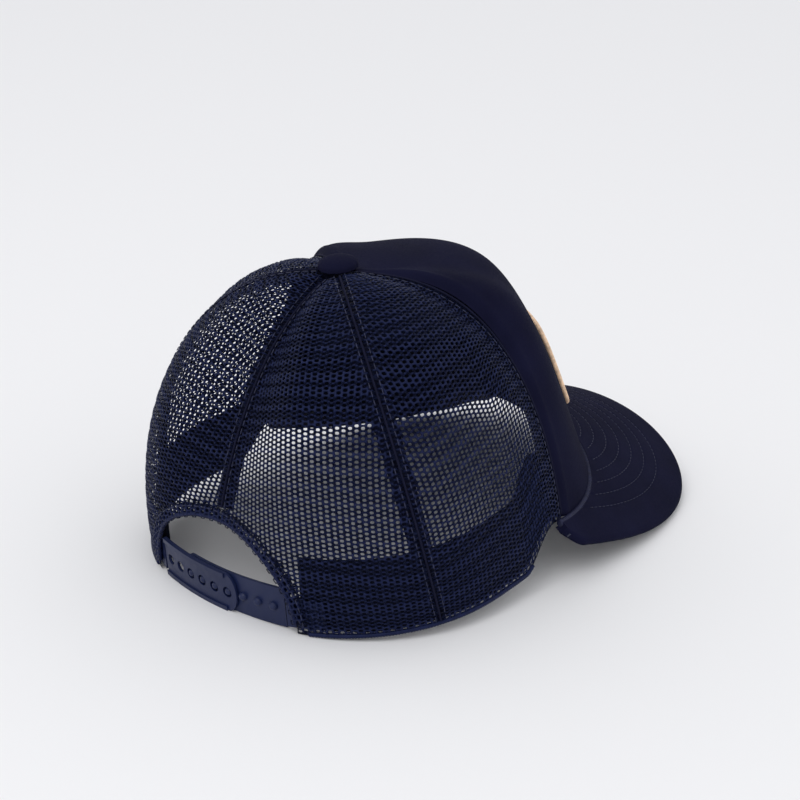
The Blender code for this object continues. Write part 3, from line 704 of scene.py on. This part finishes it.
def knit_look(name, colour, roughness, grain, **settings):
    """Brushed knit: fine loops, a soft nap and slow changes of shade."""
    look = Look(name, colour, roughness, **settings)
    look.tint(look.noise(42.0, 5.0), *shades(colour, 0.18))
    look.matte(look.noise(900.0), roughness - 0.06, min(1.0, roughness + 0.06))
    look.raised(look.cells(grain), 0.00012, 0.55)
    look.raised(look.noise(grain * 1.7, 3.0), 0.00008, 0.5)
    return look.material


def yarn_look(name, colour, roughness, **settings):
    """Smooth filament yarn: fine lengthwise streaks and a slow change of shade."""
    look = Look(name, colour, roughness, **settings)
    look.tint(look.noise(520.0, 3.0), *shades(colour, 0.30))
    look.matte(look.noise(2600.0), roughness - 0.08, roughness + 0.12)
    look.raised(look.noise(5200.0, 2.0), 0.00006, 0.6)
    return look.material


def woven_look(name, colour, roughness, threads, share=0.12, **settings):
    """Twill or tape: two crossing sets of threads."""
    look = Look(name, colour, roughness, **settings)
    look.tint(look.noise(160.0, 4.0), *shades(colour, share))
    look.raised(look.bands(threads, "DIAGONAL"), 0.00012, 0.6)
    look.raised(look.bands(threads * 1.1, "Z"), 0.00008, 0.5)
    look.raised(look.noise(3000.0), 0.00005, 0.4)
    return look.material


def plastic_look(name, colour, roughness, **settings):
    """Moulded plastic: faint orange peel, and scuffs that dull it."""
    look = Look(name, colour, roughness, **settings)
    look.tint(look.noise(30.0, 4.0), *shades(colour, 0.10))
    look.matte(look.noise(260.0, 6.0), roughness - 0.07, roughness + 0.13)
    look.raised(look.noise(1500.0, 3.0), 0.00004, 0.35)
    return look.material


NAVY = (0.0062, 0.0066, 0.0220)
MESH_NAVY = (0.0080, 0.0112, 0.0400)
BLUE_SHINE = (0.45, 0.56, 1.0, 1.0)
LOOKS = {
    "knit": knit_look("navy_knit", NAVY, 0.85, 2400.0, Specular_IOR_Level=0.04),
    "mesh": yarn_look("navy_mesh", MESH_NAVY, 0.36, Specular_IOR_Level=0.17, Specular_Tint=BLUE_SHINE),
    "yarn": yarn_look("navy_thread", (0.012, 0.014, 0.042), 0.50, Specular_IOR_Level=0.20),
    "stitch": yarn_look("stitch_thread", (0.022, 0.026, 0.062), 0.42, Specular_IOR_Level=0.3),
    "foam": knit_look("foam", (0.020, 0.024, 0.055), 0.95, 1300.0, Specular_IOR_Level=0.05),
    "tape": woven_look("seam_tape", (0.008, 0.009, 0.026), 0.85, 900.0, Specular_IOR_Level=0.08),
    "sweatband": knit_look(
        "sweatband_cotton", (0.008, 0.009, 0.020), 0.92, 1600.0, Specular_IOR_Level=0.06
    ),
    "board": plastic_look("visor_board_plastic", (0.03, 0.035, 0.06), 0.50),
    "strap": plastic_look("strap_plastic", (0.008, 0.014, 0.055), 0.38, Specular_IOR_Level=0.28),
    "steel": plastic_look("washer_steel", (0.45, 0.45, 0.47), 0.33, metallic=1.0),
    "patch": woven_look("patch_twill", (0.80, 0.70, 0.55), 0.85, 1100.0, share=0.06),
    "patch_edge": yarn_look("patch_thread", (0.80, 0.56, 0.38), 0.55),
    "label": woven_look("label_satin", (0.70, 0.68, 0.62), 0.45, 1800.0, share=0.05),
}


# --- crown panels ---


def front_grid(rows, columns, trim, hem_lift, top_reach):
    """Angles and rises over the front panel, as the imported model's panel runs."""

    def edge(rise):
        degrees = seam_angle(FRONT_SEAM, rise)
        return degrees - np.degrees(trim / reach_of(crown_point(degrees, rise)))

    across = np.linspace(-1.0, 1.0, columns)
    along = np.linspace(0.0, 1.0, rows)[:, None]
    low_edge = edge(np.array(0.0))
    low = low_edge * across
    top_rise = rise_at_reach(np.array([FRONT_SEAM[1]]), top_reach)[0]
    high = edge(np.array(top_rise)) * across
    low_rise = rise_at_length(low, hem_lift)
    high_rise = rise_at_reach(high, top_reach)
    return low + (high - low) * along, low_rise + (high_rise - low_rise) * along


def make_front_panel():
    """The cover rolls in at its seams, with a faint swell beside them; the foam lies behind it."""
    cover_lift, foam_lift, foam_top = 0.0012, 0.0030, 0.0240
    rows, columns = int(130 * FINE), int(220 * FINE)
    degrees, rise = front_grid(rows, columns, GAP / 2, cover_lift, TOP_REACH)
    share = np.abs(np.linspace(-1.0, 1.0, columns))[None, :]
    from_seam = (1.0 - share) * math.radians(FRONT_SEAM[0]) * reach_of(crown_point(degrees, rise))
    roll = 0.0009 * (1.0 - smooth(from_seam / 0.0030))
    swell = 0.0005 * np.exp(-(((from_seam - 0.0042) / 0.0016) ** 2))
    puff = front_puff(degrees, rise) - roll + swell
    points, faces = shell(on_crown(degrees, rise, puff), on_crown(degrees, rise, puff - COVER_THICKNESS))
    made = add_piece("front_cover", points, faces, "knit", "navy_knit")
    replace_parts(made, "front_panel_cover")
    trim = TAPE_WIDTH / 2 + 9 * GAP
    degrees, rise = front_grid(int(60 * FINE), int(90 * FINE), trim, foam_lift, foam_top)
    out = front_puff(degrees, rise) - COVER_THICKNESS - GAP
    ripple = 0.00025 * np.sin(degrees * 1.9) * np.sin(rise * 40.0)
    inner = on_crown(degrees, rise, out - FOAM_THICKNESS - ripple)
    points, faces = shell(on_crown(degrees, rise, out), inner)
    made = add_piece("front_foam", points, faces, "foam", "foam")
    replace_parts(made, "front_panel_foam")


def seam_line(seam, side, shift, out, low, high):
    """A line beside a seam on the crown, and the crown's normals along it."""
    rise = np.linspace(low, high, 220)
    reach = reach_of(crown_point(side * seam_angle(seam, rise), rise))
    return line_on_crown(side * (seam_angle(seam, rise) + np.degrees(shift / reach)), rise, out)


def seams():
    """(name, its tape's node, seam, side, rise at its foot) of the five panel seams."""
    foot = arch_place(np.array(0.5), ARCH_HEM_WIDTH + GAP)[1].item()
    found = [("centre", "centre_seam_tape", CENTRE_SEAM, 1, foot)]
    for side, name in ((1, "right"), (-1, "left")):
        found.append((f"front_{name}", f"front_seam_tape_{name}", FRONT_SEAM, side, SEAM_FOOT))
        found.append((f"side_{name}", f"side_seam_tape_{name}", SIDE_SEAM, side, SEAM_FOOT))
    return found


def make_seams():
    """Each seam has its tape inside, a ridge where the panels meet, and long stitches beside it."""
    rows, columns = int(120 * FINE), 9
    across = np.linspace(-0.5, 0.5, columns)
    ribs = 0.00018 * np.cos(across * 12.5)[None, :]
    for name, node, seam, side, low in seams():
        top = np.array([side * seam[1]], float)
        high, tape_top = (rise_at_reach(top, reach)[0] for reach in (SEAM_TOP_REACH, TAPE_TOP_REACH))
        rise = np.linspace(max(low, TAPE_FOOT), tape_top, rows)
        middle = crown_point(side * seam_angle(seam, rise), rise)
        shift = np.degrees(TAPE_WIDTH * across[None, :] / reach_of(middle)[:, None])
        degrees = side * seam_angle(seam, rise)[:, None] + shift
        depth = MESH_THICKNESS + 2 * GAP + ribs
        rises = np.repeat(rise[:, None], columns, axis=1)
        inner = on_crown(degrees, rises, -depth - TAPE_THICKNESS)
        points, faces = shell(on_crown(degrees, rises, -depth), inner)
        tape = add_piece(f"tape_{name}", points, faces, "tape", "seam_tape")
        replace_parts(tape, node)
        path, normal = seam_line(seam, side, 0.0, -0.0002, low, high)
        rope(f"ridge_{name}", path, normal, 0.00050, 0.0014, 0.25, "tape", "navy_mesh")
        beside = (0.0022,) if seam is FRONT_SEAM else (-0.0023, 0.0023)
        lines = [seam_line(seam, side, shift, 0.00035, low, high) for shift in beside]
        stitches(f"topstitch_{name}", lines, LONG_STITCH_PITCH, 0.0027, "stitch")


def make_arch_hem():
    """The mesh is folded double round the opening: two layers of cells and a rolled edge."""
    ends = (0.02, 0.98)
    turn = np.linspace(*ends, 400)
    edge = crown_point(*arch_place(turn, ARCH_HEM_WIDTH / 2))
    gone = np.concatenate([[0.0], np.cumsum(np.linalg.norm(np.diff(edge, axis=0), axis=1))])
    layers = []
    for offset, lift in ((0.0, 0.00055), (0.5, -0.00085)):
        centres = lattice((0.0, gone[-1]), (0.0, ARCH_HEM_WIDTH))
        centres = centres + np.array([offset * MESH_COLUMN, 0.3 * offset * MESH_ROW])
        keep = (centres[:, 0] > 0.001) & (centres[:, 0] < gone[-1] - 0.001)
        keep &= (centres[:, 1] > 0.0008) & (centres[:, 1] < ARCH_HEM_WIDTH)
        flat, out, faces = knit(centres[keep], lambda points: points)
        degrees, rise = arch_place(np.interp(flat[:, 0], gone, turn), flat[:, 1])
        points = on_crown(degrees, rise, out + lift)
        layers.append((points, outward(points, faces)))
    count = len(layers[0][0])
    points = np.concatenate([layer[0] for layer in layers])
    faces = np.concatenate([layers[0][1], layers[1][1] + count])
    hem = add_piece("arch_hem_net", points, faces, "mesh", "navy_mesh", angle=180.0)
    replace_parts(hem, "arch_hem")
    path, normal = line_on_crown(*arch_place(np.linspace(0.03, 0.97, 500), 0.0013), -0.00015)
    rope("arch_edge", path, normal, 0.0010, 0.0021, 0.30, "mesh", "navy_mesh")
    line = line_on_crown(*arch_place(np.linspace(*ends, 500), 0.0048), 0.0010)
    stitches("arch_stitches", [line], LONG_STITCH_PITCH, 0.0026, "stitch")


def make_hem_bindings():
    past_corner, radius = 10.0, 0.0009
    first, last = VISOR_CORNER + past_corner, float(arch_place(np.array(0.0), ARCH_HEM_WIDTH)[0])
    for side, name in ((1, "right"), (-1, "left")):
        degrees = side * np.linspace(first, last, 260)
        rise = np.zeros_like(degrees)
        path = placed(crown_at(degrees, rise, -MESH_THICKNESS / 2) + np.array([0.0, 0.0, radius]))
        normal = crown_normal(degrees, rise)
        made = rope(f"binding_{name}", path, normal, 0.00100, 0.0012, 0.20, "mesh", "navy_mesh", lean=0.5)
        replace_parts(made, f"hem_binding_{name}")


def sweatband_out(degrees):
    """The band lies against the foam in front and against the mesh and the strap tabs behind."""
    spare, beside = 0.0008, 0.0044
    before = COVER_THICKNESS + 2 * GAP + FOAM_THICKNESS + spare
    angle = np.abs(signed_degrees(degrees))
    return -(before + (beside - before) * smooth((angle - 48.0) / 12.0))


def make_sweatband():
    """Its foot is sewn to the hem, further in where the strap tabs are; its top edge ripples."""
    lift, tabs_from, foot_at_hem, foot_at_tabs = 0.0010, 134.0, -0.0019, -0.0030
    rows, columns = int(36 * FINE), int(420 * FINE)
    degrees = np.linspace(-SWEATBAND_END, SWEATBAND_END, columns)[None, :]
    degrees, up = np.broadcast_arrays(degrees, np.linspace(0.0, 1.0, rows)[:, None])
    climb = lift + (SWEATBAND_HEIGHT + 0.0015) * up
    rise = rise_at_length(degrees, climb)
    wave = 0.00015 * np.sin(np.radians(degrees) * 34.0) * up * up
    edge = 0.00045 * (1.0 - smooth(np.minimum(up, 1.0 - up) / 0.05))
    foot = np.where(np.abs(degrees) > tabs_from, foot_at_tabs, foot_at_hem)
    base = foot + (sweatband_out(degrees) - foot) * smooth((climb - 0.0006) / 0.0050) + wave
    outer = on_crown(degrees, rise, base - edge)
    points, faces = shell(outer, on_crown(degrees, rise, base - SWEATBAND_THICKNESS + edge))
    made = add_piece("sweatband_knit", points, faces, "sweatband", "sweatband_cotton")
    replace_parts(made, "sweatband")


# --- visor ---


def visor_plan(turn, out):
    """Plan of the visor, and the length from the joint to the edge: turn runs from -1 at one corner
    to 1 at the other, and out from 0 at the joint to 1 at the free edge."""
    x, y = hem_plan(turn * VISOR_CORNER)
    scale = 1.0 + VISOR_GAP / np.hypot(x, y)
    inner = np.stack([x * scale, y * scale], axis=-1)
    corner_y = hem_plan(np.array(VISOR_CORNER))[1]
    forward = FRONT_LENGTH + VISOR_LENGTH + corner_y
    angle = turn * math.pi / 2
    c, s = np.abs(np.cos(angle)), np.sin(angle)
    radius = super_round(s / VISOR_HALF_WIDTH, c / forward, VISOR_FULLNESS)
    outer = np.stack([-s * radius, corner_y - c * radius], axis=-1)
    taper = smooth((1.02 - np.abs(turn)) / VISOR_TAPER)
    spoke = (outer - inner) * taper[..., None]
    return inner + spoke * np.asarray(out)[..., None], np.linalg.norm(spoke, axis=-1)


def visor_at(plan, lift):
    """Points over a plan of the visor, this far from its middle surface, in the row frame."""
    x, y = plan[..., 0], plan[..., 1]
    normal = unit(np.stack([x / VISOR_BEND_RADIUS, np.full_like(x, -VISOR_SLOPE), np.ones_like(x)], axis=-1))
    base = np.stack([x, y, visor_height(x, y)], axis=-1)
    return placed(base + normal * np.asarray(lift)[..., None])


def make_visor():
    """Both covers in one closed sheet with a round free edge, pulled in along its stitch rows."""
    columns, rows, round_rows = int(300 * FINE), int(200 * FINE), 9
    turn = np.linspace(-VISOR_END, VISOR_END, columns)
    half, middle = (VISOR_TOP - VISOR_UNDER) / 2, (VISOR_TOP + VISOR_UNDER) / 2
    rounded = np.linspace(0.0, math.pi / 2, round_rows)
    _, spoke = visor_plan(turn, np.zeros(columns))
    flat_out = np.concatenate([np.linspace(0.0, 1.0, rows), np.ones(round_rows)])[:, None]
    bulge = np.concatenate([np.zeros(rows), np.sin(rounded)])[:, None]
    thick = half * np.concatenate([np.ones(rows), np.cos(rounded)])[:, None]
    edge_share = np.minimum(half, spoke * 0.3) / spoke
    out = flat_out * (1.0 - edge_share) + bulge * edge_share
    plan, _ = visor_plan(np.broadcast_to(turn, out.shape), out)
    from_edge = (1.0 - out) * spoke
    groove = 0.00028 * sum(np.exp(-(((from_edge - row) / 0.0006) ** 2)) for row in VISOR_ROWS)
    groove = groove * smooth(spoke / 0.02) * smooth(out / 0.05)
    top, under = visor_at(plan, middle + thick - groove), visor_at(plan, middle - thick + groove)
    points, faces = weld(*shell(top, under))
    keep = np.array([len(set(row)) > 2 for row in faces.tolist()])
    made = add_piece("visor_cover", points, faces[keep], "knit", "navy_knit", angle=70.0)
    turn_faces_out(made.data, merge=1e-7)
    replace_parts(made, "visor_top_cover", "visor_bottom_cover")


def make_visor_stitches():
    turn, past_edge = np.linspace(-0.97, 0.97, 400), 0.002
    _, spoke = visor_plan(turn, np.zeros(len(turn)))
    top, under = VISOR_TOP - STITCH_RADIUS, VISOR_UNDER + STITCH_RADIUS
    for name, height, way in (("visor_stitches", top, LIFT), ("visor_stitches_under", under, -LIFT)):
        lines = []
        for row in VISOR_ROWS:
            kept = spoke > row + past_edge
            plan, _ = visor_plan(turn[kept], 1.0 - row / spoke[kept])
            points = visor_at(plan, height)
            lines.append((points, unit(visor_at(plan, height + way) - points)))
        stitches(name, lines, 0.0030, 0.0024, "yarn")


def make_visor_cord():
    """The cord fills the crease, and climbs with the crown's hem at the visor's corners."""
    end, hem_rise = VISOR_CORNER - 1.0, 0.0004
    degrees = np.linspace(-end, end, 500)
    x, y = hem_plan(degrees)
    scale = 1.0 + SEAM_CORD_REACH / np.hypot(x, y)
    x, y = x * scale, y * scale
    height = np.maximum(visor_height(x, y) + SEAM_CORD_RISE, hem_height(degrees) + hem_rise)
    path = placed(np.stack([x, y, height], axis=-1))
    normal = crown_normal(degrees, np.zeros_like(degrees))
    made = rope("visor_cord", path, normal, 0.0016, 0.0011, 0.30, "yarn", "navy_knit", lean=0.6, sides=12)
    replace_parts(made, "visor_seam_cord")


# --- button, patch and label ---


def make_eye():
    """The seam allowances gathered under the button close the crown's eye."""
    inside, outside, depth, thickness = 0.0022, 0.0110, 0.0010, 0.0006
    degrees = np.linspace(-180.0, 180.0, 97)
    rises = np.array([rise_at_reach(degrees, reach) for reach in np.linspace(inside, outside, 8)])
    turned = np.broadcast_to(degrees, rises.shape)
    inner = on_crown(turned, rises, -depth - thickness)
    points, faces = shell(on_crown(turned, rises, -depth), inner)
    add_piece("eye_allowances", points, faces, "tape", "seam_tape")


def make_button():
    """A knit cover gathered over a shell: low dome, rolled rim and faint pleats under the edge."""
    underside, edge, shank, foot = 0.0013, 0.0012, 0.0014, -0.0042
    sides, dome, rim, pleats = 96, 18, 6, 14
    profile = [(0.0, underside + BUTTON_RISE)]
    for i in range(1, dome + 1):
        angle = math.pi / 2 * i / dome
        lift = underside + edge + (BUTTON_RISE - edge) * math.cos(angle) ** 0.8
        profile.append((BUTTON_RADIUS * math.sin(angle), lift))
    for i in range(1, rim + 1):
        share = i / rim
        swell = 0.0004 * math.sin(math.pi * share)
        profile.append((BUTTON_RADIUS + swell - 0.0009 * share, underside + edge * (1 - share)))
    profile += [(shank, underside), (shank, foot), (0.0, foot)]
    turn = np.linspace(0, 2 * np.pi, sides, endpoint=False)
    rings = []
    for radius, height in profile:
        pleat = 1.0 + 0.012 * np.sin(turn * pleats) * smooth(np.array((radius - 0.006) / 0.002))
        x, y = np.cos(turn) * radius * pleat, np.sin(turn) * radius * pleat
        rings.append(np.stack([x, y + BUTTON_Y, np.full(sides, CROWN_HEIGHT + height)], axis=-1))
    rings = np.array([np.concatenate([ring, ring[:1]]) for ring in rings])
    points, faces = weld(placed(rings).reshape(-1, 3), grid_faces(len(profile), sides + 1))
    polygons = []
    for row in faces.tolist():
        corners = [c for k, c in enumerate(row) if c != row[k - 1]]
        if len(corners) > 2:
            polygons.append(corners)
    data = bpy.data.meshes.new("button_cover")
    data.from_pydata(points.tolist(), [], polygons)
    turn_faces_out(data)
    data.set_sharp_from_angle(angle=math.radians(50))
    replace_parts(ride_on_crown("button_cover", data, "knit", "navy_knit"), "button")


def patch_surface(x, y, out):
    degrees = -np.degrees(x / (FRONT_LENGTH * 0.985))
    rise = rise_at_length(degrees, PATCH_CENTRE_HEIGHT + y)
    return on_crown(degrees, rise, front_puff(degrees, rise) + out)


def make_patch():
    """Plain twill with rounded corners, inside an overlocked edge."""
    trim = PATCH_EDGE_RADIUS + PATCH_EDGE_GAP
    inset, corner, full = PATCH_HALF_WIDTH - trim, PATCH_CORNER - trim, PATCH_HALF_HEIGHT - trim
    across = np.linspace(-1.0, 1.0, int(120 * FINE))[None, :]
    along = np.linspace(-1.0, 1.0, int(50 * FINE))[:, None]
    x = inset * np.sin(across * math.pi / 2)
    past = np.maximum(0.0, np.abs(x) - (inset - corner))
    y = (full - corner + np.sqrt(np.maximum(0.0, corner**2 - past**2))) * along
    x = np.broadcast_to(x, y.shape)
    points, faces = shell(patch_surface(x, y, GAP + PATCH_THICKNESS), patch_surface(x, y, GAP))
    made = add_piece("patch_cloth", points, faces, "patch", "patch_twill")
    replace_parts(made, "patch")
    rim = []
    for quarter in range(4):
        middle_x = (PATCH_HALF_WIDTH - PATCH_CORNER) * (1 if quarter in (0, 3) else -1)
        middle_y = (PATCH_HALF_HEIGHT - PATCH_CORNER) * (1 if quarter in (0, 1) else -1)
        for angle in math.pi / 2 * (quarter + np.linspace(0.0, 1.0, 13)):
            x, y = PATCH_CORNER * math.cos(angle), PATCH_CORNER * math.sin(angle)
            rim.append((middle_x + x, middle_y + y))
    rim = np.array(rim + rim[:1])
    steps = np.linalg.norm(np.diff(rim, axis=0), axis=1)
    gone = np.concatenate([[0.0], np.cumsum(steps)])
    place = np.linspace(0.0, gone[-1], 700)
    x, y = (np.interp(place, gone, rim[:, k]) for k in range(2))
    path = patch_surface(x, y, GAP + PATCH_EDGE_RADIUS)
    normal = unit(patch_surface(x, y, GAP + PATCH_EDGE_RADIUS + LIFT) - path)
    shape = (PATCH_EDGE_RADIUS, 0.00075, 0.22)
    edge = rope("patch_overlock", path, normal, *shape, "patch_edge", "patch_thread", lean=0.35, closed=True)
    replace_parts(edge, "patch_edge")


def make_label():
    first, sweep_angle, lift, height, thickness = 135.0, 9.0, 0.006, 0.016, 0.0004
    across, along = np.meshgrid(np.linspace(0.0, 1.0, 40), np.linspace(0.0, 1.0, 24))
    degrees = first + sweep_angle * across
    rise = rise_at_length(degrees, lift + height * along)
    curl = 0.0005 * np.sin(along * math.pi) * np.sin(across * math.pi)
    out = sweatband_out(degrees) - SWEATBAND_THICKNESS - GAP - curl
    points, faces = shell(on_crown(degrees, rise, out), on_crown(degrees, rise, out - thickness))
    made = add_piece("label_cloth", points, faces, "label", "label_satin")
    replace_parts(made, "size_label")


# --- assembly ---


def dress_cad_nodes():
    """The rigid pieces keep their CAD shape and get a finished material."""
    looks = {
        "outer_strap": "strap",
        "inner_strap": "strap",
        "outer_strap_tab": "strap",
        "inner_strap_tab": "strap",
        "visor_board": "board",
        "button_washer": "steel",
    }
    for node, look in looks.items():
        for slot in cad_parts[node].material_slots:
            slot.material = LOOKS[look]


def make_stage():
    half = 15.0
    data = bpy.data.meshes.new("floor")
    corners = [(-half, -half, 0), (half, -half, 0), (half, half, 0), (-half, half, 0)]
    data.from_pydata(corners, [], [(0, 1, 2, 3)])
    floor = bpy.data.objects.new("floor", data)
    bpy.context.scene.collection.objects.link(floor)
    look = Look("studio_paper", (0.86, 0.86, 0.87), 0.9)
    look.raised(look.noise(500.0, 3.0), 0.0002, 0.15)
    data.materials.append(look.material)


def make_lights():
    """An even pale sky, and one soft light from above and behind the cap."""
    world = bpy.data.worlds.new("studio")
    world.use_nodes = True
    background = world.node_tree.nodes["Background"]
    background.inputs["Color"].default_value = (0.975, 0.98, 1.0, 1.0)
    background.inputs["Strength"].default_value = 0.92
    bpy.context.scene.world = world
    place = Vector((-0.40, 1.20, 1.6))
    data = bpy.data.lights.new("overhead", "AREA")
    data.shape = "DISK"
    data.size = 1.2
    data.energy = 8.0
    light = bpy.data.objects.new("overhead", data)
    light.location = place
    light.rotation_euler = (-place).to_track_quat("-Z", "Y").to_euler()
    bpy.context.scene.collection.objects.link(light)


def make_camera():
    azimuth, elevation = math.radians(224.0), math.radians(22.5)
    target, distance = Vector((0.0, 0.0489, 0.0500)), 0.7209
    level = math.cos(elevation)
    back = Vector((math.sin(azimuth) * level, -math.cos(azimuth) * level, math.sin(elevation)))
    data = bpy.data.cameras.new("camera")
    data.sensor_width = 36.0
    data.lens = 77.2
    data.shift_x = 0.069
    data.shift_y = 0.050
    camera = bpy.data.objects.new("camera", data)
    camera.location = target + back * distance
    camera.rotation_mode = "QUATERNION"
    camera.rotation_quaternion = (-back).to_track_quat("-Z", "Y")
    bpy.context.scene.collection.objects.link(camera)
    bpy.context.scene.camera = camera


make_stage()
make_lights()
make_camera()
bpy.context.scene.view_settings.view_transform = "Standard"
make_front_panel()
for side, hand in ((1, "right"), (-1, "left")):
    seams_beside, flat = (FRONT_SEAM, SIDE_SEAM), (0.096, 0.172)
    make_mesh_panel(f"side_net_{hand}", side, *seams_beside, f"side_mesh_{hand}", flat, 0.0098)
    seams_beside, flat = (SIDE_SEAM, CENTRE_SEAM), (0.090, 0.150)
    make_mesh_panel(f"back_net_{hand}", side, *seams_beside, f"back_mesh_{hand}", flat, 0.0068)
make_seams()
make_arch_hem()
make_hem_bindings()
make_sweatband()
make_visor()
make_visor_stitches()
make_visor_cord()
make_eye()
make_button()
make_patch()
make_label()
dress_cad_nodes()
